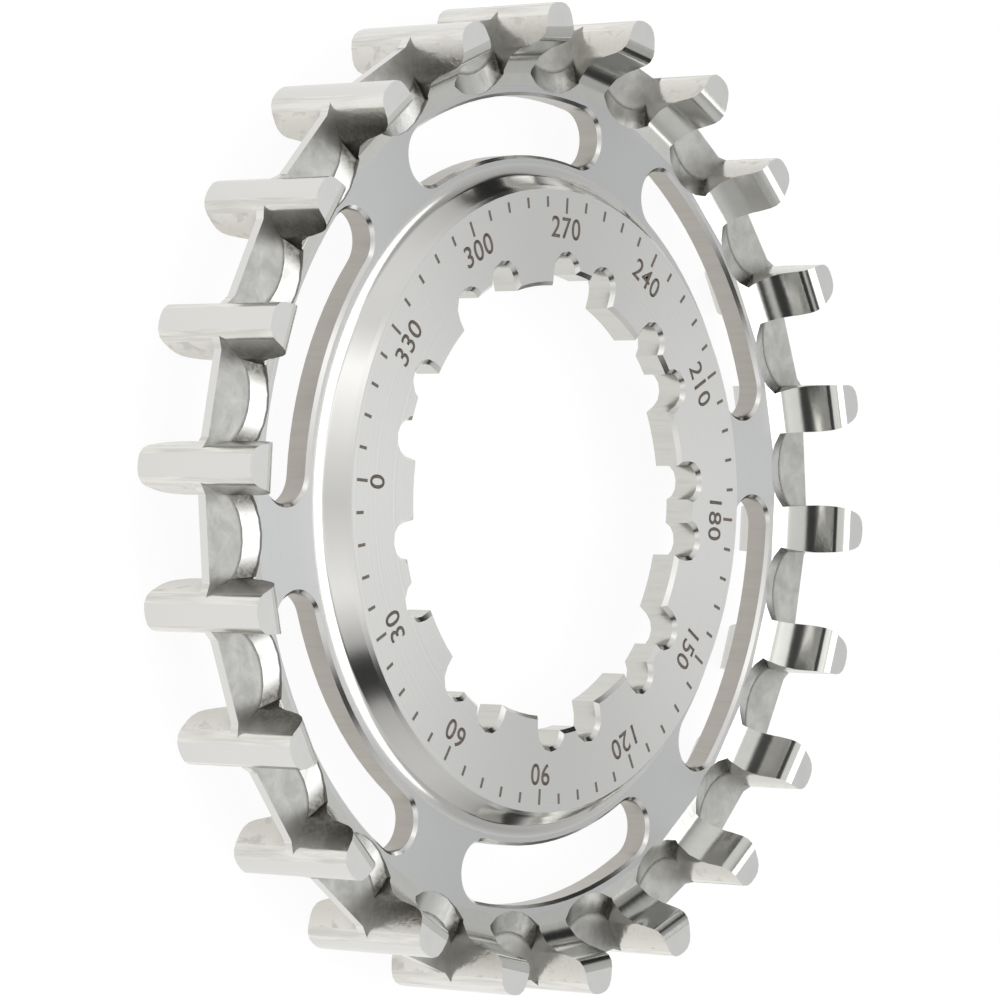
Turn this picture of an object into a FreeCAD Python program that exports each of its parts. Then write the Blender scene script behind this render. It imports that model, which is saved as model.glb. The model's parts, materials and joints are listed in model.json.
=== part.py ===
import FreeCAD, Part
import math
import os

# Rear belt sprocket of a bicycle: one piece of stainless steel, cast and then turned.
# It lies flat with its front face up. The z axis is the wheel axis, z = 0 is the plane
# under the tooth ends, and the x axis runs through the middle of a tooth. Millimetres, degrees.

# Belt and teeth
tooth_count = 22
belt_pitch = 11.0
pitch_line_height = 0.815
tooth_width = 10.75
tooth_thickness_at_tip = 2.55
flank_angle = 11.5
tip_rounding = 1.2

# Tooth ends, seen in a section through the axis
end_face_height = 2.7
end_edge_rounding = 1.15
underside_draft = 15.0
underside_fillet = 2.9

# Pockets between the teeth, and the thin fin that runs round through the gaps
pocket_width = 6.0
pocket_depth = 6.42
pocket_root_curve = 4.6
fin_thickness = 0.72
lip_width = 1.57
fin_root_curve = 4.4
fin_root_slope = 20.0
fin_root_corner = 2.6
ledge_step = 0.05
ledge_overlap = 0.45
fin_rim_below_tips = 1.1
fin_rim_flat = 6.3
fin_rim_rise = 0.6
fin_rim_run = 1.25

# Disc with its raised boss
web_front_above_middle = 0.82
web_thickness = 2.0
boss_radius = 24.0
boss_height = 2.0
boss_edge_chamfer = 0.27
hub_thickness = 2.4
recess_inside_boss = 2.5

# Weight-saving slots
slot_count = 6
boss_to_slot = 2.35
slot_to_pocket = 0.38
slot_span = 46.9
slot_first_pitch = 2.5

# Splined bore, which slides over the nine ribs of the wheel's freehub body
spline_count = 9
spline_turn = 1.1
long_land_radius = 16.4
land_step = 1.17
notch_turn = 12.5
notch_circle_inset = 0.12
notch_radius = 1.37

# Broken edges of the machined openings
bore_chamfer = 0.3
slot_chamfer = 0.25

# How many flats stand for each rounding of the teeth and the boss, of a ledge, of half a pocket
# root, and for the round end of a notch
rounding_flat_count = 3
ledge_flat_count = 3
root_flat_count = 3
notch_flat_count = 6

# Working lengths: the overlap of cuts, the seam of disc and teeth inside the slots, and how near
# two places have to be to count as one
cut_margin = 1.0
seam_inset = 0.5
mouth_margin = 0.01
same_place = 0.0001

# Density of the steel in g/cm3
steel_density = 7.9

# Sizes that follow
pitch_angle = 360.0 / tooth_count
tip_radius = tooth_count * belt_pitch / (2.0 * math.pi) - pitch_line_height
middle = tooth_width / 2.0
web_front = middle + web_front_above_middle
web_back = web_front - web_thickness
boss_front = web_front + boss_height
hub_back = boss_front - hub_thickness
fin_front = middle + fin_thickness / 2.0
fin_back = middle - fin_thickness / 2.0
half_pitch = pitch_angle / 2.0
end_face_inner_radius = tip_radius - end_face_height
pocket_root_radius = tip_radius - pocket_depth
fin_root_radius = pocket_root_radius + lip_width
fin_rim_radius = tip_radius - fin_rim_below_tips
recess_radius = boss_radius - recess_inside_boss
slot_inner_radius = boss_radius + boss_to_slot
slot_outer_radius = pocket_root_radius - slot_to_pocket
short_land_radius = long_land_radius + land_step
notch_circle_radius = short_land_radius - notch_circle_inset
disc_radius = slot_outer_radius - seam_inset
axis_point = FreeCAD.Vector(0.0, 0.0, 0.0)
axis_direction = FreeCAD.Vector(0.0, 0.0, 1.0)


def sine(angle):
    return math.sin(math.radians(angle))


def cosine(angle):
    return math.cos(math.radians(angle))


def tangent(angle):
    return math.tan(math.radians(angle))


# A point given in a frame whose x axis is turned by an angle about the wheel axis
def turned(x, y, angle, z=0.0):
    return FreeCAD.Vector(x * cosine(angle) - y * sine(angle), x * sine(angle) + y * cosine(angle), z)


def line_edge(start, end):
    return Part.LineSegment(start, end).toShape()


def arc_edge(start, middle_point, end):
    return Part.Arc(start, middle_point, end).toShape()


# Edges of a path through corner points, each with the radius of its rounding.
# A rounding is a true arc, or a few flats where the same form repeats round the whole part.
def rounded_edges(corners, closed, flats=0):
    edges = []
    last = None
    first = None
    for index, (corner, radius) in enumerate(corners):
        points = [corner]
        if radius > 0.0:
            to_last = (corners[index - 1][0] - corner).normalize()
            to_next = (corners[(index + 1) % len(corners)][0] - corner).normalize()
            half_angle = to_last.getAngle(to_next) / 2.0
            centre = corner + (to_last + to_next).normalize() * (radius / math.sin(half_angle))
            start = corner + to_last * (radius / math.tan(half_angle))
            turn = 180.0 - 2.0 * math.degrees(half_angle)
            steps = 2 if flats == 0 else flats
            normal = to_next.cross(to_last)
            for step in range(steps + 1):
                rotation = FreeCAD.Rotation(normal, turn * step / steps)
                points.append(centre + rotation.multVec(start - centre))
            points = points[1:]
        if last is None:
            first = points[0]
        elif last.distanceToPoint(points[0]) > same_place:
            edges.append(line_edge(last, points[0]))
        if radius > 0.0 and flats == 0:
            edges.append(arc_edge(points[0], points[1], points[2]))
        else:
            for near, far in zip(points, points[1:]):
                edges.append(line_edge(near, far))
        last = points[-1]
    if closed:
        edges.append(line_edge(last, first))
    return edges


def prism(wire, bottom, top):
    face = Part.Face(wire)
    face.translate(FreeCAD.Vector(0.0, 0.0, bottom))
    return face.extrude(FreeCAD.Vector(0.0, 0.0, top - bottom))


# Turned hub and disc: the boss stands out at the front, and the back is recessed behind it
def turned_hub():
    inner = long_land_radius - cut_margin
    boss_fillet = boss_height - boss_edge_chamfer
    section = [
        (inner, hub_back, 0.0),
        (recess_radius, hub_back, 0.0),
        (recess_radius, web_back, 0.0),
        (disc_radius, web_back, 0.0),
        (disc_radius, web_front, 0.0),
        (boss_radius, web_front, boss_fillet),
        (boss_radius, boss_front - boss_edge_chamfer, 0.0),
        (boss_radius - boss_edge_chamfer, boss_front, 0.0),
        (inner, boss_front, 0.0),
    ]
    corners = [(FreeCAD.Vector(x, 0.0, z), rounding) for x, z, rounding in section]
    face = Part.Face(Part.Wire(rounded_edges(corners, True, rounding_flat_count)))
    return face.revolve(axis_point, axis_direction, 360.0)


# Half the tooth's thickness at a radius, before its tip is rounded
def half_tooth(radius):
    return tooth_thickness_at_tip / 2.0 + (tip_radius - radius) * tangent(flank_angle)


# A point beside the first tooth, given in the frame of the gap on that side of it
def beside(x, y, side, z=0.0):
    return turned(x, -side * y, side * half_pitch, z)


# Where the flank passes the side wall of the pocket, in the frame of the gap
def flank_foot():
    tip_x = tip_radius * cosine(half_pitch) + half_tooth(tip_radius) * sine(half_pitch)
    tip_y = tip_radius * sine(half_pitch) - half_tooth(tip_radius) * cosine(half_pitch)
    return tip_x - (tip_y - pocket_width / 2.0) / tangent(flank_angle + half_pitch)


# Plan of the first tooth and its share of the disc, from the middle of one gap to the next
def tooth_plan():
    side_y = pocket_width / 2.0
    root_turn = math.degrees(math.asin(side_y / pocket_root_curve))
    centre_x = pocket_root_radius + pocket_root_curve
    root = []
    for step in range(root_flat_count + 1):
        turn = root_turn * step / root_flat_count
        root.append((centre_x - pocket_root_curve * cosine(turn), pocket_root_curve * sine(turn)))
    side = [(disc_radius - cut_margin, 0.0)] + root + [(flank_foot(), side_y)]
    outline = [(beside(x, y, -1.0), 0.0) for x, y in side]
    outline.append((FreeCAD.Vector(tip_radius, -half_tooth(tip_radius), 0.0), tip_rounding))
    outline.append((FreeCAD.Vector(tip_radius, half_tooth(tip_radius), 0.0), tip_rounding))
    outline.extend((beside(x, y, 1.0), 0.0) for x, y in reversed(side))
    return Part.Wire(rounded_edges(outline, True, rounding_flat_count))


# The first tooth: its section through the axis, pushed across it and trimmed to its plan
def tooth():
    inner = disc_radius - 2.0 * cut_margin
    outer = tip_radius + cut_margin
    fall = tangent(underside_draft)
    front_foot = end_face_inner_radius - (tooth_width - web_front) * fall
    back_foot = end_face_inner_radius - web_back * fall
    section = [
        (inner, web_back, 0.0),
        (back_foot, web_back, underside_fillet),
        (end_face_inner_radius, 0.0, end_edge_rounding),
        (outer, 0.0, 0.0),
        (outer, tooth_width, 0.0),
        (end_face_inner_radius, tooth_width, end_edge_rounding),
        (front_foot, web_front, underside_fillet),
        (inner, web_front, 0.0),
    ]
    reach = belt_pitch / 2.0 + cut_margin
    corners = [(FreeCAD.Vector(x, -reach, z), rounding) for x, z, rounding in section]
    face = Part.Face(Part.Wire(rounded_edges(corners, True, rounding_flat_count)))
    block = face.extrude(FreeCAD.Vector(0.0, 2.0 * reach, 0.0))
    return block.common(prism(tooth_plan(), -cut_margin, tooth_width + cut_margin))


# The space over one half of the fin, beside the first tooth: its root slopes up to the pocket's lip
def fin_clearance(side, fin_face, ledge_top):
    side_y = pocket_width / 2.0 + ledge_overlap
    run = fin_root_radius - pocket_root_radius + ledge_overlap
    vertex_x = fin_root_radius - fin_root_curve * (1.0 / cosine(fin_root_slope) - 1.0)
    side_x = vertex_x + side_y * tangent(fin_root_slope)
    outer_x = tip_radius + cut_margin + run
    outer_y = side_y + (outer_x - flank_foot()) * tangent(flank_angle + pitch_angle)
    corners = [
        (beside(outer_x, -outer_y, side, fin_face), 0.0),
        (beside(flank_foot(), -side_y, side, fin_face), 0.0),
        (beside(side_x, -side_y, side, fin_face), fin_root_corner),
        (beside(vertex_x, 0.0, side, fin_face), fin_root_curve),
        (beside(side_x, side_y, side, fin_face), fin_root_corner),
        (beside(flank_foot(), side_y, side, fin_face), 0.0),
        (beside(outer_x, outer_y, side, fin_face), 0.0),
    ]
    face = Part.Face(Part.Wire(rounded_edges(corners, True, ledge_flat_count)))
    return face.extrude(beside(-run, 0.0, side, ledge_top - fin_face))


# The fin beside the first tooth, from gap to gap, with its sloping ledges front and back
def fin():
    top = web_front - ledge_step
    bottom = web_back + ledge_step
    inner = disc_radius - cut_margin
    rise_x = fin_rim_radius + fin_rim_rise
    flat_y = fin_rim_flat / 2.0
    half_outline = [
        (inner, 0.0),
        (fin_rim_radius, 0.0),
        (fin_rim_radius, flat_y),
        (rise_x, flat_y + fin_rim_run),
    ]
    points = [beside(x, y, 1.0) for x, y in half_outline]
    points += [beside(x, y, -1.0) for x, y in reversed(half_outline)]
    plate = prism(Part.makePolygon(points + points[:1]), bottom, top)
    spaces = []
    for side in (-1.0, 1.0):
        spaces.append(fin_clearance(side, fin_front, top))
        spaces.append(fin_clearance(side, fin_back, bottom))
    return plate.cut(spaces)


# One weight-saving slot: two arcs about the wheel axis with a round end at each side
def slot_wire(at_angle):
    end_radius = (slot_outer_radius - slot_inner_radius) / 2.0
    centre_radius = (slot_outer_radius + slot_inner_radius) / 2.0
    end_turn = slot_span / 2.0 - math.degrees(math.asin(end_radius / centre_radius))
    first = at_angle - end_turn
    last = at_angle + end_turn
    edges = [
        arc_edge(turned(slot_outer_radius, 0.0, first), turned(slot_outer_radius, 0.0, at_angle),
                 turned(slot_outer_radius, 0.0, last)),
        arc_edge(turned(slot_outer_radius, 0.0, last), turned(centre_radius, end_radius, last),
                 turned(slot_inner_radius, 0.0, last)),
        arc_edge(turned(slot_inner_radius, 0.0, last), turned(slot_inner_radius, 0.0, at_angle),
                 turned(slot_inner_radius, 0.0, first)),
        arc_edge(turned(slot_inner_radius, 0.0, first), turned(centre_radius, -end_radius, first),
                 turned(slot_outer_radius, 0.0, first)),
    ]
    return Part.Wire(edges)


# The round end of one notch, from its straight wall to the short land; a side of -1 mirrors it
def notch_edges(at_angle, side):
    circles_apart = short_land_radius ** 2 - notch_circle_radius ** 2 - notch_radius ** 2
    meet_turn = math.degrees(math.acos(circles_apart / (2.0 * notch_circle_radius * notch_radius)))
    points = []
    for step in range(notch_flat_count + 1):
        turn = -90.0 + (90.0 + meet_turn) * step / notch_flat_count
        along = notch_circle_radius + notch_radius * cosine(turn)
        points.append(turned(along, side * notch_radius * sine(turn), at_angle))
    if side < 0.0:
        points.reverse()
    return [line_edge(near, far) for near, far in zip(points, points[1:])]


# Splined bore: long lands between the ribs, short lands over them, a round-ended notch at each side
def bore_wire():
    spline_angle = 360.0 / spline_count
    wall_turn = math.degrees(math.asin(notch_radius / long_land_radius))
    edges = []
    for spline in range(spline_count):
        at_land = spline_turn + spline * spline_angle
        land_half = notch_turn - wall_turn
        first = notch_edges(at_land + notch_turn, 1.0)
        second = notch_edges(at_land + spline_angle - notch_turn, -1.0)
        land_start = turned(long_land_radius, 0.0, at_land - land_half)
        land_end = turned(long_land_radius, 0.0, at_land + land_half)
        next_land = turned(long_land_radius, 0.0, at_land + spline_angle - land_half)
        short_middle = turned(short_land_radius, 0.0, at_land + spline_angle / 2.0)
        edges.append(arc_edge(land_start, turned(long_land_radius, 0.0, at_land), land_end))
        edges.append(line_edge(land_end, first[0].Vertexes[0].Point))
        edges.extend(first)
        edges.append(arc_edge(first[-1].Vertexes[-1].Point, short_middle, second[0].Vertexes[0].Point))
        edges.extend(second)
        edges.append(line_edge(second[-1].Vertexes[-1].Point, next_land))
    return Part.Wire(edges)


# Edges that lie flat at a height between two radii, such as the mouths of the openings
def flat_edges(shape, height, inner, outer):
    found = []
    for edge in shape.Edges:
        box = edge.BoundBox
        middle_point = edge.valueAt((edge.FirstParameter + edge.LastParameter) / 2.0)
        radius = math.hypot(middle_point.x, middle_point.y)
        flat = abs(box.ZMin - height) < same_place and abs(box.ZMax - height) < same_place
        if flat and inner < radius < outer:
            found.append(edge)
    return found


def sprocket():
    hub = turned_hub()
    hub = hub.cut(prism(bore_wire(), hub_back - cut_margin, boss_front + cut_margin))
    notch_end = notch_circle_radius + notch_radius
    mouth = flat_edges(hub, boss_front, 0.0, notch_end + mouth_margin)
    hub = hub.makeChamfer(bore_chamfer, mouth)
    first = tooth().fuse(fin()).removeSplitter()
    teeth = []
    for number in range(tooth_count):
        copy = first.copy()
        copy.rotate(axis_point, axis_direction, number * pitch_angle)
        teeth.append(copy)
    body = hub.fuse(teeth).removeSplitter()
    slots = []
    for slot in range(slot_count):
        at_angle = slot_first_pitch * pitch_angle + slot * 360.0 / slot_count
        slots.append(prism(slot_wire(at_angle), web_back - cut_margin, web_front + cut_margin))
    body = body.cut(slots)
    nearest = slot_inner_radius - mouth_margin
    farthest = slot_outer_radius + mouth_margin
    mouths = flat_edges(body, web_front, nearest, farthest)
    return body.makeChamfer(slot_chamfer, mouths)


os.makedirs("parts", exist_ok=True)
whole = sprocket()
print("solids", len(whole.Solids), "valid", whole.isValid(), "faces", len(whole.Faces))
print("volume", round(whole.Volume, 1), "mm3, mass", round(whole.Volume * steel_density / 1000.0, 1), "g")
whole.Solids[0].exportStep("parts/sprocket.step")
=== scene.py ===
import bpy
import json
import math
from mathutils import Matrix, Vector

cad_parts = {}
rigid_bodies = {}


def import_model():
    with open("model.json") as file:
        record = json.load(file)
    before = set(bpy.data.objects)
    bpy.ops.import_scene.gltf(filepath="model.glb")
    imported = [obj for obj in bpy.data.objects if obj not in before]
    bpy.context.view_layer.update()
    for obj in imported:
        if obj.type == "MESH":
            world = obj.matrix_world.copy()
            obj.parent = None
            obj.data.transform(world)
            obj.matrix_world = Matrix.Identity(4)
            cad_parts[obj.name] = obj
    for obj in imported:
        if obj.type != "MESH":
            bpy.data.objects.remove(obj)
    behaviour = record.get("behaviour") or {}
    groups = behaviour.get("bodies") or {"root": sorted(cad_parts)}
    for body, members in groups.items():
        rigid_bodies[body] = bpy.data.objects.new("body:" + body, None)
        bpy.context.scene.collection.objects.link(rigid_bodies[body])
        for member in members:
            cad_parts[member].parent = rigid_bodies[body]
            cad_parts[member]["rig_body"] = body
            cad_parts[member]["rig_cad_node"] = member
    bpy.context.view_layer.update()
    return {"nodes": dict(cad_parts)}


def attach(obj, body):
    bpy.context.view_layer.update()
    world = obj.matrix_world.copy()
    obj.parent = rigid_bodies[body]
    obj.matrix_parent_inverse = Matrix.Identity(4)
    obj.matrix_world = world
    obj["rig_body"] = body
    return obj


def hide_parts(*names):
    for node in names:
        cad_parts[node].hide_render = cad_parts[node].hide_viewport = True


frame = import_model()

# Rear belt sprocket of a bicycle: stainless steel, lying flat with its front face up.
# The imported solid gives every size; this script gives it finishes, marks, light and a camera.

mm = 0.001


def linearColour(hexText):
    channels = [int(hexText[i:i + 2], 16) / 255.0 for i in (1, 3, 5)]
    linear = [c / 12.92 if c <= 0.04045 else ((c + 0.055) / 1.055) ** 2.4 for c in channels]
    return (linear[0], linear[1], linear[2], 1.0)


# Adds one node: its settings are attributes, its inputs are numbers, colours or sockets to link
def addNode(tree, kind, settings=None, inputs=None):
    node = tree.nodes.new(kind)
    for name, value in (settings or {}).items():
        setattr(node, name, value)
    for name, value in (inputs or {}).items():
        if isinstance(value, bpy.types.NodeSocket):
            tree.links.new(value, node.inputs[name])
        else:
            node.inputs[name].default_value = value
    return node


def newMaterial(name):
    material = bpy.data.materials.new(name)
    material.use_nodes = True
    material.node_tree.nodes.clear()
    return material, material.node_tree


def selectOnly(thing):
    bpy.ops.object.select_all(action="DESELECT")
    thing.select_set(True)
    bpy.context.view_layer.objects.active = thing


# The camera stands where the photograph was taken from
cameraPlace = {
    "aim": Vector((2.9736, 0.1657, 5.375)) * mm,
    "distance": 384.665 * mm,
    "right": Vector((-0.62382, -0.04736, 0.78013)),
    "up": Vector((0.06683, -0.99774, -0.00713)),
    "forward": Vector((-0.77870, -0.04769, -0.62558)),
    "lens": 182.157,
    "sensorWidth": 36.0,
    "clipStart": 0.01,
    "clipEnd": 20.0,
}


def makeCamera(place):
    bpy.ops.object.camera_add()
    camera = bpy.context.object
    camera.name = "viewCamera"
    turn = Matrix((place["right"], place["up"], -place["forward"])).transposed()
    spot = place["aim"] - place["forward"] * place["distance"]
    camera.matrix_world = Matrix.Translation(spot) @ turn.to_4x4()
    camera.data.lens = place["lens"]
    camera.data.sensor_width = place["sensorWidth"]
    camera.data.clip_start = place["clipStart"]
    camera.data.clip_end = place["clipEnd"]
    bpy.context.scene.camera = camera


makeCamera(cameraPlace)
print("camera placed")

# Studio: a pale floor, one soft lamp and a plain grey room
studio = {
    "floorSize": 6.0,
    "floorColour": "#E9E9E8",
    "floorGlow": 1.05,
    "glowShare": 0.9,        # the rest of what the camera sees of the floor is lit board, with the shadow
    "directDepth": 1.5,      # rays below this depth come straight from the metal
    "wallLevels": [          # how bright the room is all round, by azimuth from +X
        (-180.0, 0.84), (-165.0, 0.70), (-150.0, 0.60), (-140.0, 0.50), (-128.0, 0.35),
        (-118.0, 0.42), (-110.0, 0.62), (-100.0, 0.74), (-90.0, 0.86), (-78.0, 0.90),
        (-65.0, 0.86), (-57.0, 1.10), (-50.0, 1.45), (-33.0, 1.15), (-15.0, 0.92), (5.0, 0.76),
        (24.0, 0.92), (42.0, 1.10), (50.0, 0.90), (59.0, 0.62), (73.0, 0.50), (86.0, 0.55),
        (98.0, 0.68), (109.0, 0.72), (118.0, 0.62), (127.0, 0.50), (140.0, 0.55), (155.0, 0.55),
        (168.0, 0.68), (180.0, 0.84),
    ],
    "cards": [               # black cards: azimuth, elevation, half width, half height, soft rim
        (-127.0, 13.0, 13.5, 18.0, 2.0), (72.5, 43.0, 9.0, 18.0, 2.0), (135.0, 9.0, 6.5, 17.0, 2.0),
    ],
    "cardLevel": 0.02,
    "darkBands": [           # two azimuths, the share at each, and the level left by elevation
        # A dark gap between the far wall and the overhead softbox
        (130.0, 158.0, 0.0, 1.0,
         [(0.0, 1.0), (25.0, 1.0), (30.0, 0.88), (42.0, 0.88), (46.0, 1.0), (90.0, 1.0)]),
        # The unlit room behind the camera
        (60.0, 85.0, 1.0, 0.0, [(0.0, 0.06), (24.0, 0.06), (31.0, 1.0), (90.0, 1.0)]),
    ],
}

# Each lamp: azimuth from +X, elevation, distance, width, height, brightness of its face
lamps = {
    "overheadSoftbox": (180.0, 71.0, 1.5, 1.5, 1.1, 1.6),
}


def makeFloor(values):
    bpy.ops.mesh.primitive_plane_add(size=values["floorSize"], location=(0.0, 0.0, 0.0))
    floor = bpy.context.object
    floor.name = "studioFloor"
    material, tree = newMaterial("matt white board")    # even, white to the camera, with a faint shadow
    path = addNode(tree, "ShaderNodeLightPath")
    # Metal shows the glow directly, and deeper down it shows the board as it is lit
    direct = addNode(tree, "ShaderNodeMath", {"operation": "LESS_THAN"},
                     {0: path.outputs["Ray Depth"], 1: values["directDepth"]})
    mirrored = addNode(tree, "ShaderNodeMath", {"operation": "MULTIPLY"},
                       {0: path.outputs["Is Glossy Ray"], 1: direct.outputs[0]})
    seen = addNode(tree, "ShaderNodeMath", {"operation": "ADD", "use_clamp": True},
                   {0: path.outputs["Is Camera Ray"], 1: mirrored.outputs[0]})
    seenAtAll = addNode(tree, "ShaderNodeMath", {"operation": "ADD", "use_clamp": True},
                        {0: seen.outputs[0], 1: path.outputs["Is Transmission Ray"]})
    share = addNode(tree, "ShaderNodeMath", {"operation": "MULTIPLY"},
                    {0: seenAtAll.outputs[0], 1: values["glowShare"]})
    board = addNode(tree, "ShaderNodeBsdfDiffuse", None,
                    {"Color": linearColour(values["floorColour"])})
    glow = addNode(tree, "ShaderNodeEmission", None,
                   {"Color": (1.0, 1.0, 1.0, 1.0), "Strength": values["floorGlow"]})
    both = addNode(tree, "ShaderNodeMixShader", None,
                   {0: share.outputs[0], 1: board.outputs[0], 2: glow.outputs[0]})
    addNode(tree, "ShaderNodeOutputMaterial", None, {"Surface": both.outputs[0]})
    floor.data.materials.append(material)


def makeLamps(rows):
    for name, (azimuth, elevation, distance, width, height, brightness) in rows.items():
        turn, lift = math.radians(azimuth), math.radians(elevation)
        side = math.cos(lift)
        spot = Vector((math.cos(turn) * side, math.sin(turn) * side, math.sin(lift)))
        bpy.ops.object.light_add(type="AREA", location=spot * distance)
        lamp = bpy.context.object
        lamp.name = name
        lamp.data.shape = "RECTANGLE"
        lamp.data.size = width
        lamp.data.size_y = height
        lamp.data.energy = brightness * math.pi * width * height
        lamp.rotation_mode = "QUATERNION"
        lamp.rotation_quaternion = spot.to_track_quat("Z", "Y")


# Sets the stops of a ramp from pairs of place and grey level
def setStops(ramp, stopList):
    stops = ramp.color_ramp.elements
    while len(stops) > 1:
        stops.remove(stops[1])
    for index, (position, level) in enumerate(stopList):
        stop = stops[0] if index == 0 else stops.new(position)
        stop.position = position
        stop.color = (level, level, level, 1.0)


def makeWorld(values):
    world = bpy.data.worlds.new("studioWorld")
    world.use_nodes = True
    tree = world.node_tree
    tree.nodes.clear()
    place = addNode(tree, "ShaderNodeTexCoord")
    parts = addNode(tree, "ShaderNodeSeparateXYZ", None, {0: place.outputs["Generated"]})
    azimuth = addNode(tree, "ShaderNodeMath", {"operation": "ARCTAN2"},
                      {0: parts.outputs["Y"], 1: parts.outputs["X"]})
    round360 = addNode(tree, "ShaderNodeMapRange", None,
                       {0: azimuth.outputs[0], 1: -math.pi, 2: math.pi, 3: 0.0, 4: 1.0})
    wall = addNode(tree, "ShaderNodeValToRGB", None, {0: round360.outputs[0]})
    setStops(wall, [((angle + 180.0) / 360.0, level) for angle, level in values["wallLevels"]])
    lit = wall.outputs[0]
    aside = addNode(tree, "ShaderNodeMath", {"operation": "ABSOLUTE"}, {0: azimuth.outputs[0]})
    for start, end, first, last, levels in values["darkBands"]:
        share = addNode(tree, "ShaderNodeMapRange", {"interpolation_type": "SMOOTHSTEP"},
                        {0: aside.outputs[0], 1: math.radians(start), 2: math.radians(end),
                         3: first, 4: last})
        left = addNode(tree, "ShaderNodeValToRGB", None, {0: parts.outputs["Z"]})
        setStops(left, [(math.sin(math.radians(angle)), level) for angle, level in levels])
        lit = addNode(tree, "ShaderNodeMix", {"data_type": "RGBA", "blend_type": "MULTIPLY"},
                      {0: share.outputs[0], 6: lit, 7: left.outputs[0]}).outputs[2]
    elevation = addNode(tree, "ShaderNodeMath", {"operation": "ARCSINE"}, {0: parts.outputs["Z"]})
    for turn, lift, wide, high, rim in values["cards"]:
        inside = []
        for angle, middle, half in ((azimuth, turn, wide), (elevation, lift, high)):
            off = addNode(tree, "ShaderNodeMath", {"operation": "SUBTRACT"},
                          {0: angle.outputs[0], 1: math.radians(middle)})
            size = addNode(tree, "ShaderNodeMath", {"operation": "ABSOLUTE"}, {0: off.outputs[0]})
            inside.append(addNode(tree, "ShaderNodeMapRange", {"interpolation_type": "SMOOTHSTEP"},
                                  {0: size.outputs[0], 1: math.radians(half - rim),
                                   2: math.radians(half + rim), 3: 1.0, 4: 0.0}))
        share = addNode(tree, "ShaderNodeMath", {"operation": "MULTIPLY"},
                        {0: inside[0].outputs[0], 1: inside[1].outputs[0]})
        level = values["cardLevel"]
        lit = addNode(tree, "ShaderNodeMix", {"data_type": "RGBA"},
                      {0: share.outputs[0], 6: lit, 7: (level, level, level, 1.0)}).outputs[2]
    path = addNode(tree, "ShaderNodeLightPath")
    seen = addNode(tree, "ShaderNodeMix", {"data_type": "RGBA"},
                   {0: path.outputs["Is Camera Ray"], 6: lit, 7: (1.0, 1.0, 1.0, 1.0)})
    sky = addNode(tree, "ShaderNodeBackground", None, {"Color": seen.outputs[2], "Strength": 1.0})
    addNode(tree, "ShaderNodeOutputWorld", None, {"Surface": sky.outputs[0]})
    bpy.context.scene.world = world


bpy.context.scene.view_settings.view_transform = "Standard"
makeFloor(studio)
makeLamps(lamps)
makeWorld(studio)
print("studio made")

# Finishes, all of one stainless steel: its colour as each way of working leaves it
steelHex = {
    "turned": "#C8C8C6",
    "web": "#BABBBB",
    "polished": "#DCDBD8",
    "land": "#E8E6E0",
    "under": "#D3D3CE",
    "pocket": "#E2E0D8",
    "fin": "#C8C8C5",
    "ledge": "#CACAC7",
    "bore": "#D0CFC9",
    "cut": "#B1ADA6",
    # the dark residue in the waves, and also the colour of the painted shade in pockets and corners
    "residueAndShade": "#3B372F",
}


def metalShader(tree, inputs):
    shader = addNode(tree, "ShaderNodeBsdfPrincipled", None, {"Metallic": 1.0, **inputs})
    addNode(tree, "ShaderNodeOutputMaterial", None, {"Surface": shader.outputs[0]})


# The level vector from the axis to a point, and its length
def fromAxis(tree, place):
    flat = addNode(tree, "ShaderNodeVectorMath", {"operation": "MULTIPLY"},
                   {0: place.outputs["Object"], 1: (1.0, 1.0, 0.0)})
    radius = addNode(tree, "ShaderNodeVectorMath", {"operation": "LENGTH"}, {0: flat.outputs[0]})
    return flat.outputs[0], radius.outputs["Value"]


# The boss's polished side: a cone with a rounded foot
cove = {
    "foot": 6.195,           # mm up from the floor side, where the web ends and the boss's side begins
    "roundedTo": 6.55,       # the foot is rounded up to here, and above it the side is one straight cone
    "top": 7.925,
    "slope": 42.0,           # degrees between the cone's normal and the axis
}


# The normal of the boss's polished side, worked out from the height so that the polish shows no flats
def coveNormal(tree, height, flat):
    turn = addNode(tree, "ShaderNodeMapRange", None,
                   {0: height, 1: cove["foot"] * mm, 2: cove["roundedTo"] * mm,
                    3: 0.0, 4: math.radians(cove["slope"])})
    outward = addNode(tree, "ShaderNodeMath", {"operation": "SINE"}, {0: turn.outputs[0]})
    upward = addNode(tree, "ShaderNodeMath", {"operation": "COSINE"}, {0: turn.outputs[0]})
    ray = addNode(tree, "ShaderNodeVectorMath", {"operation": "NORMALIZE"}, {0: flat})
    level = addNode(tree, "ShaderNodeVectorMath", {"operation": "SCALE"},
                    {0: ray.outputs[0], "Scale": outward.outputs[0]})
    upright = addNode(tree, "ShaderNodeCombineXYZ", None, {"Z": upward.outputs[0]})
    both = addNode(tree, "ShaderNodeVectorMath", {"operation": "ADD"},
                   {0: level.outputs[0], 1: upright.outputs[0]})
    normal = addNode(tree, "ShaderNodeVectorTransform",
                     {"vector_type": "NORMAL", "convert_from": "OBJECT", "convert_to": "WORLD"},
                     {0: both.outputs[0]})
    return normal.outputs[0]


# The finishes that a lathe leaves
turned = {
    # Faces turned on a lathe: fine rings about the axis, which draw light out into rays
    "turnedFace": {"name": "fine turned stainless", "hex": steelHex["turned"], "roughness": 0.42,
                   "spread": 0.45, "depth": 0.008, "onCove": False},
    "webFace": {"name": "turned stainless web", "hex": steelHex["web"], "roughness": 0.42,
                "spread": 0.45, "depth": 0.008, "onCove": False},
    # The boss's side, turned and then polished: nearly a mirror, drawn out across its width
    "polishedCove": {"name": "polished stainless", "hex": steelHex["polished"], "roughness": 0.15,
                     "spread": 0.6, "depth": 0.0004, "onCove": True},
}

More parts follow.
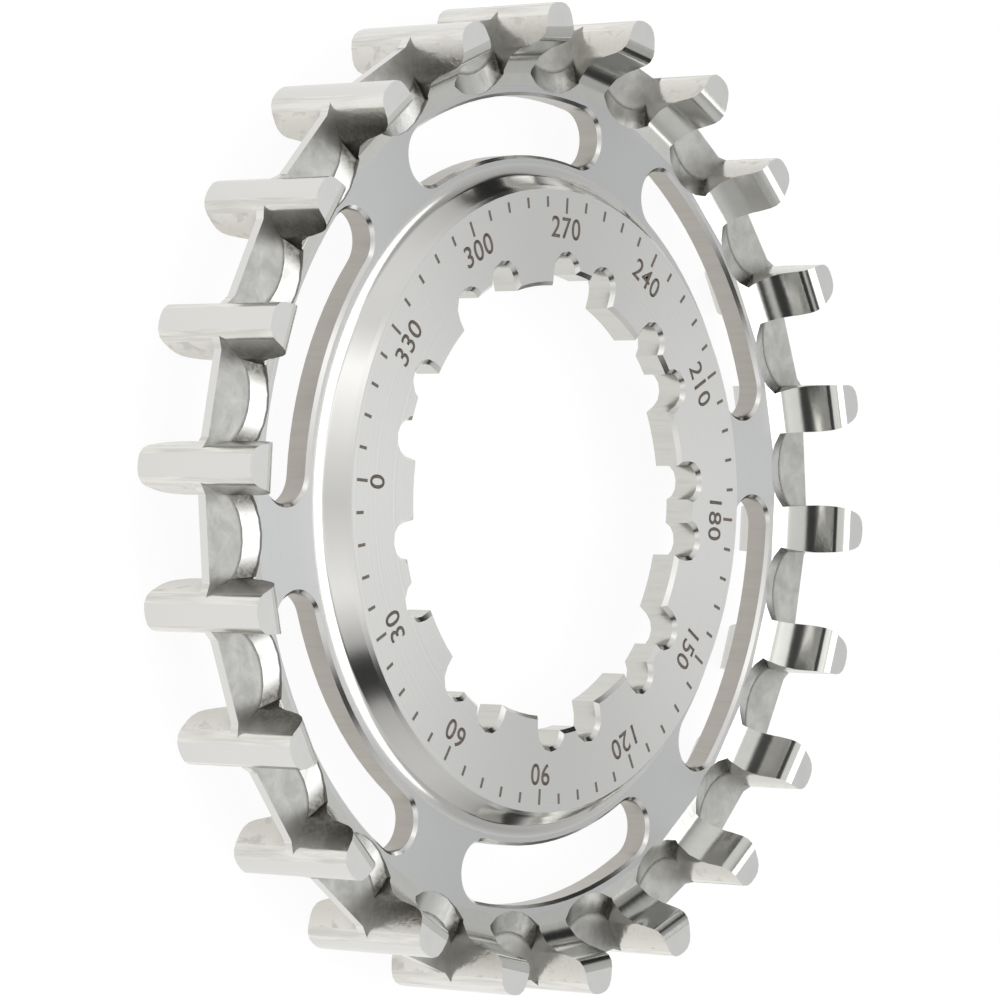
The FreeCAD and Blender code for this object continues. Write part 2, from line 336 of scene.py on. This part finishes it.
# The rings of turning, as every turned finish has them
rings = {
    "width": 0.26,           # mm between the rings that turning leaves, drawn as coarse as shows
    "detail": 2.0,
    "roughness": 0.6,
    "quarterTurn": 0.25,     # light spreads across the rings, not along them
}


def turnedSteel(row):
    material, tree = newMaterial(row["name"])
    place = addNode(tree, "ShaderNodeTexCoord")
    flat, radius = fromAxis(tree, place)
    parts = addNode(tree, "ShaderNodeSeparateXYZ", None, {0: place.outputs["Object"]})
    height = parts.outputs["Z"]
    lines = addNode(tree, "ShaderNodeTexNoise", {"noise_dimensions": "1D"},
                    {"W": height if row["onCove"] else radius, "Scale": 1.0 / (rings["width"] * mm),
                     "Detail": rings["detail"], "Roughness": rings["roughness"]})
    bump = addNode(tree, "ShaderNodeBump", None,
                   {"Height": lines.outputs[0], "Distance": row["depth"] * mm, "Strength": 1.0})
    if row["onCove"]:
        tree.links.new(coveNormal(tree, height, flat), bump.inputs["Normal"])
    around = addNode(tree, "ShaderNodeVectorMath", {"operation": "CROSS_PRODUCT"},
                     {0: (0.0, 0.0, 1.0), 1: place.outputs["Object"]})
    metalShader(tree, {"Base Color": linearColour(row["hex"]), "Roughness": row["roughness"],
                       "Normal": bump.outputs[0], "Anisotropic": row["spread"],
                       "Anisotropic Rotation": rings["quarterTurn"], "Tangent": around.outputs[0]})
    return material


# Where painted shade darkens the pockets between the teeth, the ledges by the teeth and the fins' roots
pocket = {
    "toothCount": 22,
    "rootRadius": 35.0,      # mm from the axis, where the pockets are darkest
    "clearRadius": 37.6,
    "shadeFaintBelow": 3.0,        # mm up the tooth: the painted shade is faint below and darkest by the web
    "shadeFullFrom": 6.0,
    "faintShadeShare": 0.25,
    "litSide": -0.2,       # share of +X in the direction from the axis: the side towards the softbox gets less painted shade
    "shadedSide": 0.8,
    "litSideShare": 0.32,
    "clearShare": 0.11,      # shares of the tooth pitch from a pocket's middle
    "fullShare": 0.29,
    "finRoot": 32.85,        # mm from the axis to where the fin springs from the disc
    "finCurve": 4.4,
    "finLine": 0.5,          # mm, the width of the line of painted shade along that root
}


# How much painted shade a point of a pocket gets: from 1 deep by the tooth's root to 0 near its tip, less
# low down and on the lit side
def depthInPocket(tree, place):
    flat, radius = fromAxis(tree, place)
    deep = addNode(tree, "ShaderNodeMapRange", {"interpolation_type": "SMOOTHSTEP"},
                   {0: radius, 1: pocket["rootRadius"] * mm, 2: pocket["clearRadius"] * mm,
                    3: 1.0, 4: 0.0})
    parts = addNode(tree, "ShaderNodeSeparateXYZ", None, {0: place.outputs["Object"]})
    above = addNode(tree, "ShaderNodeMapRange", {"interpolation_type": "SMOOTHSTEP"},
                    {0: parts.outputs["Z"], 1: pocket["shadeFaintBelow"] * mm, 2: pocket["shadeFullFrom"] * mm,
                     3: pocket["faintShadeShare"], 4: 1.0})
    ray = addNode(tree, "ShaderNodeVectorMath", {"operation": "NORMALIZE"}, {0: flat})
    side = addNode(tree, "ShaderNodeSeparateXYZ", None, {0: ray.outputs[0]})
    left = addNode(tree, "ShaderNodeMapRange", {"interpolation_type": "SMOOTHSTEP"},
                   {0: side.outputs["X"], 1: pocket["litSide"], 2: pocket["shadedSide"],
                    3: pocket["litSideShare"], 4: 1.0})
    there = addNode(tree, "ShaderNodeMath", {"operation": "MULTIPLY"},
                    {0: deep.outputs[0], 1: above.outputs[0]})
    return addNode(tree, "ShaderNodeMath", {"operation": "MULTIPLY"},
                   {0: there.outputs[0], 1: left.outputs[0]})


# The turn from the middle of the nearest pocket, as a share of the tooth pitch
def turnFromMiddle(tree, parts):
    azimuth = addNode(tree, "ShaderNodeMath", {"operation": "ARCTAN2"},
                      {0: parts.outputs["Y"], 1: parts.outputs["X"]})
    pitches = addNode(tree, "ShaderNodeMath", {"operation": "MULTIPLY"},
                      {0: azimuth.outputs[0], 1: pocket["toothCount"] / (2.0 * math.pi)})
    share = addNode(tree, "ShaderNodeMath", {"operation": "FRACT"}, {0: pitches.outputs[0]})
    return addNode(tree, "ShaderNodeMath", {"operation": "SUBTRACT"}, {0: share.outputs[0], 1: 0.5})


# How near a point lies to the tooth beside it, from 0 in the middle of a pocket to 1 at its ends
def nearTooth(tree, place):
    parts = addNode(tree, "ShaderNodeSeparateXYZ", None, {0: place.outputs["Object"]})
    turn = turnFromMiddle(tree, parts)
    aside = addNode(tree, "ShaderNodeMath", {"operation": "ABSOLUTE"}, {0: turn.outputs[0]})
    return addNode(tree, "ShaderNodeMapRange", {"interpolation_type": "SMOOTHSTEP"},
                   {0: aside.outputs[0], 1: pocket["clearShare"], 2: pocket["fullShare"],
                    3: 0.0, 4: 1.0})


# How near a point of the fin lies to the arc that it springs from, from 0 inside to 1 at the arc
def nearFinRoot(tree, place):
    parts = addNode(tree, "ShaderNodeSeparateXYZ", None, {0: place.outputs["Object"]})
    turn = turnFromMiddle(tree, parts)
    angle = addNode(tree, "ShaderNodeMath", {"operation": "MULTIPLY"},
                    {0: turn.outputs[0], 1: 2.0 * math.pi / pocket["toothCount"]})
    flat, radius = fromAxis(tree, place)
    along = addNode(tree, "ShaderNodeMath", {"operation": "COSINE"}, {0: angle.outputs[0]})
    aside = addNode(tree, "ShaderNodeMath", {"operation": "SINE"}, {0: angle.outputs[0]})
    unit = addNode(tree, "ShaderNodeCombineXYZ", None, {"X": along.outputs[0], "Y": aside.outputs[0]})
    point = addNode(tree, "ShaderNodeVectorMath", {"operation": "SCALE"},
                    {0: unit.outputs[0], "Scale": radius})
    away = addNode(tree, "ShaderNodeVectorMath", {"operation": "DISTANCE"},
                   {0: point.outputs[0], 1: ((pocket["finRoot"] + pocket["finCurve"]) * mm, 0.0, 0.0)})
    return addNode(tree, "ShaderNodeMapRange", {"interpolation_type": "SMOOTHSTEP"},
                   {0: away.outputs["Value"], 1: (pocket["finCurve"] - pocket["finLine"]) * mm,
                    2: pocket["finCurve"] * mm, 3: 0.0, 4: 1.0})


# What a skin has unless its own row says otherwise
plainSkin = {
    "waveDepth": 0.002,      # mm, the depth of the waves that bend reflections
    "grainDepth": 0.001,     # mm, the depth of the fine grain on them
    "waveSize": 1.3,         # mm across the dents and waves that tumbling and casting leave
    "drawn": 1.0,            # below 1, the pattern is drawn out along the axis, as a cutter leaves it
    "darkShare": 0.0,        # how much dark residue of the tumbling the waves hold
    "blotchTo": 0.54,        # the height in the waves up to which they hold it
    "residueAndShade": None,         # where painted shade darkens it further, and how much
    "paintedShadeShare": 0.0,
}

# The finishes of everything that wasn't turned
skins = {
    # Ground tooth ends: matt and even
    "toothEnd": {"name": "ground stainless", "hex": steelHex["turned"], "roughness": 0.42,
                 "waveDepth": 0.004, "grainDepth": 0.002, "darkShare": 0.03},
    # Lands and flanks of the teeth, tumbled and run in: pale, with faint lines along the tooth
    "toothSkin": {"name": "tumbled stainless", "hex": steelHex["land"], "roughness": 0.2,
                  "waveDepth": 0.01, "grainDepth": 0.004, "darkShare": 0.22,
                  "waveSize": 0.6, "blotchTo": 0.6, "drawn": 0.08},
    # Undersides of the teeth: smooth enough to mirror the room in bands
    "toothUnder": {"name": "bright tumbled stainless", "hex": steelHex["under"], "roughness": 0.15,
                   "waveDepth": 0.008, "darkShare": 0.03},
    # Pockets: waves that break up the reflections, blotches of dark residue, and painted shade deep in
    # the corners
    "pocketSkin": {"name": "tumbled stainless pocket", "hex": steelHex["pocket"], "roughness": 0.2,
                   "waveDepth": 0.05, "grainDepth": 0.004, "darkShare": 0.28,
                   "residueAndShade": depthInPocket, "paintedShadeShare": 0.82},
    # Fins as cast: dull and blotched, with a line of painted shade where they spring from the disc
    "castFin": {"name": "cast stainless skin", "hex": steelHex["fin"], "roughness": 0.4,
                "waveDepth": 0.03, "grainDepth": 0.006, "darkShare": 0.3, "waveSize": 1.9,
                "blotchTo": 0.72, "residueAndShade": nearFinRoot, "paintedShadeShare": 0.8},
    # Ledges at the disc's rim: soft shine, with painted shade towards the teeth
    "ledgeSkin": {"name": "tumbled stainless ledge", "hex": steelHex["ledge"], "roughness": 0.28,
                  "waveDepth": 0.02, "grainDepth": 0.004, "darkShare": 0.25,
                  "residueAndShade": nearTooth, "paintedShadeShare": 0.95},
    # Lips over the ledges: worn dull
    "wornLip": {"name": "worn stainless lip", "hex": steelHex["polished"], "roughness": 0.6},
    # Broached and cut walls: clean, with faint lines along the cut
    "boreWall": {"name": "broached stainless", "hex": steelHex["bore"], "roughness": 0.25,
                 "darkShare": 0.06, "waveSize": 0.5, "drawn": 0.1},
    "cutWall": {"name": "cut stainless wall", "hex": steelHex["cut"], "roughness": 0.3,
                "waveDepth": 0.003, "grainDepth": 0.002, "darkShare": 0.06,
                "waveSize": 0.5, "drawn": 0.08},
    # Broken edges: narrow and bright, so that they catch the light
    "brightEdge": {"name": "bright broken edge", "hex": steelHex["polished"], "roughness": 0.18},
}

# How the waves and the grain of every skin are drawn
skinPattern = {
    "waveDetail": 4.0,
    "waveRoughness": 0.6,
    "waveTwist": 0.4,
    "grainSize": 0.3,        # mm across a grain of the cast skin
    "grainDetail": 3.0,
    "grainRoughness": 0.65,
    "blotchFrom": 0.36,      # the height in the waves where the residue is darkest
    "brokenFrom": 0.3,       # heights in the grain between which it thins the painted shade
    "brokenTo": 0.7,
    "brokenShare": 0.75,
}


# A cast, cut or tumbled skin: shallow waves that bend reflections, a fine grain on them, dark residue
# of the tumbling in the waves, and painted shade in the pockets' corners, by the teeth and at the fins'
# roots
def tumbledSteel(row, pattern):
    material, tree = newMaterial(row["name"])
    place = addNode(tree, "ShaderNodeTexCoord")
    stretched = addNode(tree, "ShaderNodeVectorMath", {"operation": "MULTIPLY"},
                        {0: place.outputs["Object"], 1: (1.0, 1.0, row["drawn"])})
    waves = addNode(tree, "ShaderNodeTexNoise", None,
                    {"Vector": stretched.outputs[0], "Scale": 1.0 / (row["waveSize"] * mm),
                     "Detail": pattern["waveDetail"], "Roughness": pattern["waveRoughness"],
                     "Distortion": pattern["waveTwist"]})
    grain = addNode(tree, "ShaderNodeTexNoise", None,
                    {"Vector": stretched.outputs[0], "Scale": 1.0 / (pattern["grainSize"] * mm),
                     "Detail": pattern["grainDetail"], "Roughness": pattern["grainRoughness"]})
    waved = addNode(tree, "ShaderNodeBump", None,
                    {"Height": waves.outputs[0], "Distance": row["waveDepth"] * mm, "Strength": 1.0})
    bump = addNode(tree, "ShaderNodeBump", None,
                   {"Height": grain.outputs[0], "Distance": row["grainDepth"] * mm, "Strength": 1.0,
                    "Normal": waved.outputs[0]})
    blotch = addNode(tree, "ShaderNodeMapRange", None,
                     {0: waves.outputs[0], 1: pattern["blotchFrom"], 2: row["blotchTo"],
                      3: row["darkShare"], 4: 0.0})
    amount = blotch.outputs[0]
    # Painted shade: the dark colour laid where the row's mask puts it, deep in pockets, by the teeth and
    # at the fins' roots, broken up by the grain
    if row["residueAndShade"] is not None:
        where = row["residueAndShade"](tree, place)
        broken = addNode(tree, "ShaderNodeMapRange", None,
                         {0: grain.outputs[0], 1: pattern["brokenFrom"], 2: pattern["brokenTo"],
                          3: row["paintedShadeShare"], 4: row["paintedShadeShare"] * pattern["brokenShare"]})
        shadeHeld = addNode(tree, "ShaderNodeMath", {"operation": "MULTIPLY"},
                       {0: where.outputs[0], 1: broken.outputs[0]})
        both = addNode(tree, "ShaderNodeMath", {"operation": "MAXIMUM"},
                       {0: shadeHeld.outputs[0], 1: blotch.outputs[0]})
        amount = both.outputs[0]
    pale = linearColour(row["hex"])
    dark = linearColour(steelHex["residueAndShade"])
    colour = addNode(tree, "ShaderNodeMix", {"data_type": "RGBA"}, {0: amount, 6: pale, 7: dark})
    metalShader(tree, {"Base Color": colour.outputs[2], "Roughness": row["roughness"],
                       "Normal": bump.outputs[0]})
    return material


finishes = {kind: turnedSteel(row) for kind, row in turned.items()}
for kind, row in skins.items():
    finishes[kind] = tumbledSteel({**plainSkin, **row}, skinPattern)
print("finishes made")

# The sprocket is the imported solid's own form, merged and smoothed, with a finish for each surface
sprocketSizes = {            # mm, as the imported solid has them: heights first, then radii
    "endBack": 0.0,
    "webBack": 4.195,
    "finBack": 5.015,
    "finFront": 5.735,
    "lipFoot": 5.9,
    "webFront": 6.195,
    "bossFront": 8.195,
    "endFront": 10.75,
    "boreOuter": 19.2,
    "coveInner": 23.5,
    "coveOuter": 25.8,
    "slotInner": 26.0,
    "slotOuter": 31.15,
    "lipOuter": 32.6,
    "endInner": 34.5,
    "rimInner": 36.4,
    "heightSlack": 0.02,     # how far a face may lie from a height above
    "wallSlack": 0.01,
    "mergeWithin": 0.001,    # doubled points closer than this become one
    "flatWithin": 0.3,       # degrees: flatter than this, triangles become one face
    "smoothAngle": 33.0,     # degrees: sharper than this, an edge shows
    "faceWeight": 50,        # how much large faces count in the normals of the roundings beside them
}

# How the faces of each kind are turned, as shares of a face's normal: Up and Tilt along the axis,
# Outward and Inward away from it and towards it
facing = {
    "flat": 0.999,
    "brokenEdge": 0.3,
    "rimOutward": 0.9,
    "underInward": -0.1,
    "underTilt": 0.05,
    "lipOutward": 0.7,
    "ledgeUp": 0.9,
    "toothUp": 0.2,
    "toothOutward": 0.3,
}


# Tells the finish of a face by where it lies and how it is turned
def surfaceKind(centre, normal, size):
    radius = math.hypot(centre.x, centre.y)
    outward = (normal.x * centre.x + normal.y * centre.y) / max(radius, size["mergeWithin"])
    upward = abs(normal.z)
    height = centre.z

    def atHeight(*names):
        return any(abs(height - size[name]) < size["heightSlack"] for name in names)

    if upward > facing["flat"]:
        if atHeight("finFront", "finBack"):
            return "castFin"
        if atHeight("endFront", "endBack"):
            return "toothEnd"
        return "webFace" if atHeight("webFront", "webBack") else "turnedFace"
    if radius < size["boreOuter"]:
        return "brightEdge" if normal.z > facing["brokenEdge"] else "boreWall"
    if size["coveInner"] < radius < size["coveOuter"] and height > size["webFront"]:
        return "polishedCove" if height < cove["top"] else "brightEdge"
    if radius < size["coveInner"]:
        return "turnedFace"
    inWeb = size["webBack"] - size["wallSlack"] < height < size["webFront"] + size["wallSlack"]
    if size["slotInner"] < radius < size["slotOuter"] and inWeb:
        return "brightEdge" if normal.z > facing["brokenEdge"] else "cutWall"
    onRim = radius > size["rimInner"] and size["webBack"] < height < size["webFront"]
    if onRim and outward > facing["rimOutward"]:
        return "brightEdge"
    if outward < facing["underInward"] and upward > facing["underTilt"]:
        return "toothUnder"
    if radius < size["lipOuter"] and outward > facing["lipOutward"] and height > size["lipFoot"]:
        return "wornLip"
    if upward > facing["ledgeUp"] and radius < size["endInner"]:
        return "ledgeSkin"
    if upward < facing["toothUp"] and outward > facing["toothOutward"] and radius > size["rimInner"]:
        return "toothSkin"
    if radius > size["endInner"] and upward > facing["toothUp"]:
        return "toothUnder"
    return "pocketSkin"


# An edge where one finish meets another is a crisp one, apart from those in a rounding
def sharpenBetweenFinishes(piece):
    blended = {piece.data.materials.find(finishes[kind].name)
               for kind in ("toothSkin", "pocketSkin", "toothUnder")}
    finishesAt = {}
    for face in piece.data.polygons:
        for key in face.edge_keys:
            finishesAt.setdefault(key, []).append(face.material_index)
    for edge in piece.data.edges:
        both = set(finishesAt[edge.key])
        if len(both) > 1 and not both <= blended:
            edge.use_edge_sharp = True


def makeSprocket(size):
    node = frame["nodes"]["sprocket"]
    selectOnly(node)
    bpy.ops.object.duplicate()
    piece = bpy.context.object
    piece.name = "sprocketBody"
    bpy.ops.object.parent_clear(type="CLEAR_KEEP_TRANSFORM")
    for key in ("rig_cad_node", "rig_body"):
        del piece[key]
    selectOnly(piece)
    bpy.ops.object.mode_set(mode="EDIT")
    bpy.ops.mesh.select_all(action="SELECT")
    bpy.ops.mesh.remove_doubles(threshold=size["mergeWithin"] * mm)
    bpy.ops.mesh.customdata_custom_splitnormals_clear()
    bpy.ops.mesh.select_all(action="SELECT")
    bpy.ops.mesh.dissolve_limited(angle_limit=math.radians(size["flatWithin"]))
    bpy.ops.object.mode_set(mode="OBJECT")
    piece.data.materials.clear()
    kinds = list(finishes)
    for kind in kinds:
        piece.data.materials.append(finishes[kind])
    for face in piece.data.polygons:
        kind = surfaceKind(face.center / mm, face.normal, size)
        face.material_index = kinds.index(kind)
    bpy.ops.object.shade_smooth_by_angle(angle=math.radians(size["smoothAngle"]))
    sharpenBetweenFinishes(piece)
    weighted = piece.modifiers.new("weightedNormals", "WEIGHTED_NORMAL")
    weighted.keep_sharp = True
    weighted.weight = size["faceWeight"]
    bpy.ops.object.modifier_apply(modifier=weighted.name)
    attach(piece, "root")
    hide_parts("sprocket")
    return piece


sprocketBody = makeSprocket(sprocketSizes)
print("sprocket made,", len(sprocketBody.data.polygons), "faces")

# Etched index marks on the boss face: a plain degree dial
dial = {
    "tickStep": 6,
    "numberStep": 30,
    "tickInner": 22.35,      # mm from the axis
    "tickOuter": 23.15,
    "longTickInner": 21.95,
    "tickWidth": 0.24,
    "numberMiddle": 20.75,
    "numberHeight": 2.3,
    "markDepth": 0.01,       # mm that the dark skin of an etched mark stands on the face
    "spacing": 1.08,         # between the figures of a number, as a share of the font's own
    "stroke": 0.02,          # mm added to the strokes of the numbers
    "curveSteps": 4,
    "mergeWithin": 0.0005,
    "markHex": "#6A625A",
    "paler": 1.5,            # the palest oxide, against the darkest
    "speckShare": 0.5,       # how far a speck goes towards it
    "speckSize": 0.2,        # mm
    "speckDetail": 2.0,
    "speckFrom": 0.35,
    "speckTo": 0.65,
    "metallic": 0.6,
    "roughness": 0.55,
}


# Laser etching leaves a thin brown-grey oxide: matt and dark, with paler specks
def etchedSteel(values):
    material, tree = newMaterial("laser etched stainless")
    place = addNode(tree, "ShaderNodeTexCoord")
    speck = addNode(tree, "ShaderNodeTexNoise", None,
                    {"Vector": place.outputs["Object"], "Scale": 1.0 / (values["speckSize"] * mm),
                     "Detail": values["speckDetail"]})
    share = addNode(tree, "ShaderNodeMapRange", None,
                    {0: speck.outputs[0], 1: values["speckFrom"], 2: values["speckTo"],
                     3: 0.0, 4: values["speckShare"]})
    dark = linearColour(values["markHex"])
    pale = tuple(channel * values["paler"] for channel in dark[:3]) + (1.0,)
    colour = addNode(tree, "ShaderNodeMix", {"data_type": "RGBA"},
                     {0: share.outputs[0], 6: dark, 7: pale})
    metalShader(tree, {"Base Color": colour.outputs[2], "Metallic": values["metallic"],
                       "Roughness": values["roughness"]})
    return material


def makeDial(values):
    top = sprocketSizes["bossFront"] * mm
    marks = []
    for angle in range(0, 360, values["tickStep"]):
        inner = values["longTickInner"] if angle % values["numberStep"] == 0 else values["tickInner"]
        middle = (inner + values["tickOuter"]) / 2.0 * mm
        turn = math.radians(angle)
        bpy.ops.mesh.primitive_plane_add(
            size=1.0, location=(middle * math.cos(turn), middle * math.sin(turn), top),
            rotation=(0.0, 0.0, turn))
        tick = bpy.context.object
        tick.scale = ((values["tickOuter"] - inner) * mm, values["tickWidth"] * mm, 1.0)
        bpy.ops.object.transform_apply(location=True, rotation=True, scale=True)
        marks.append(tick)
    for angle in range(0, 360, values["numberStep"]):
        turn = math.radians(angle)
        out = values["numberMiddle"] * mm
        bpy.ops.object.text_add(location=(out * math.cos(turn), out * math.sin(turn), top),
                                rotation=(0.0, 0.0, turn - math.pi / 2.0))
        number = bpy.context.object
        number.data.body = str(angle)
        number.data.size = values["numberHeight"] * mm
        number.data.space_character = values["spacing"]
        number.data.offset = values["stroke"] * mm
        number.data.resolution_u = values["curveSteps"]
        number.data.align_x = "CENTER"
        number.data.align_y = "CENTER"
        bpy.ops.object.convert(target="MESH")
        bpy.ops.object.transform_apply(location=True, rotation=True, scale=True)
        marks.append(bpy.context.object)
    bpy.ops.object.select_all(action="DESELECT")
    for mark in marks:
        mark.select_set(True)
    bpy.context.view_layer.objects.active = marks[0]
    bpy.ops.object.join()
    piece = bpy.context.object
    piece.name = "etchedDial"
    bpy.ops.object.transform_apply(location=True, rotation=True, scale=True)
    bpy.ops.object.mode_set(mode="EDIT")
    bpy.ops.mesh.select_all(action="SELECT")
    bpy.ops.mesh.remove_doubles(threshold=values["mergeWithin"] * mm)
    bpy.ops.mesh.normals_make_consistent(inside=False)
    bpy.ops.object.mode_set(mode="OBJECT")
    skin = piece.modifiers.new("skin", "SOLIDIFY")
    skin.thickness = 2.0 * values["markDepth"] * mm
    skin.offset = 0.0
    bpy.ops.object.modifier_apply(modifier=skin.name)
    piece.data.materials.clear()
    piece.data.materials.append(etchedSteel(values))
    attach(piece, "root")
    return piece


etchedDial = makeDial(dial)
print("dial made,", len(etchedDial.data.polygons), "faces")
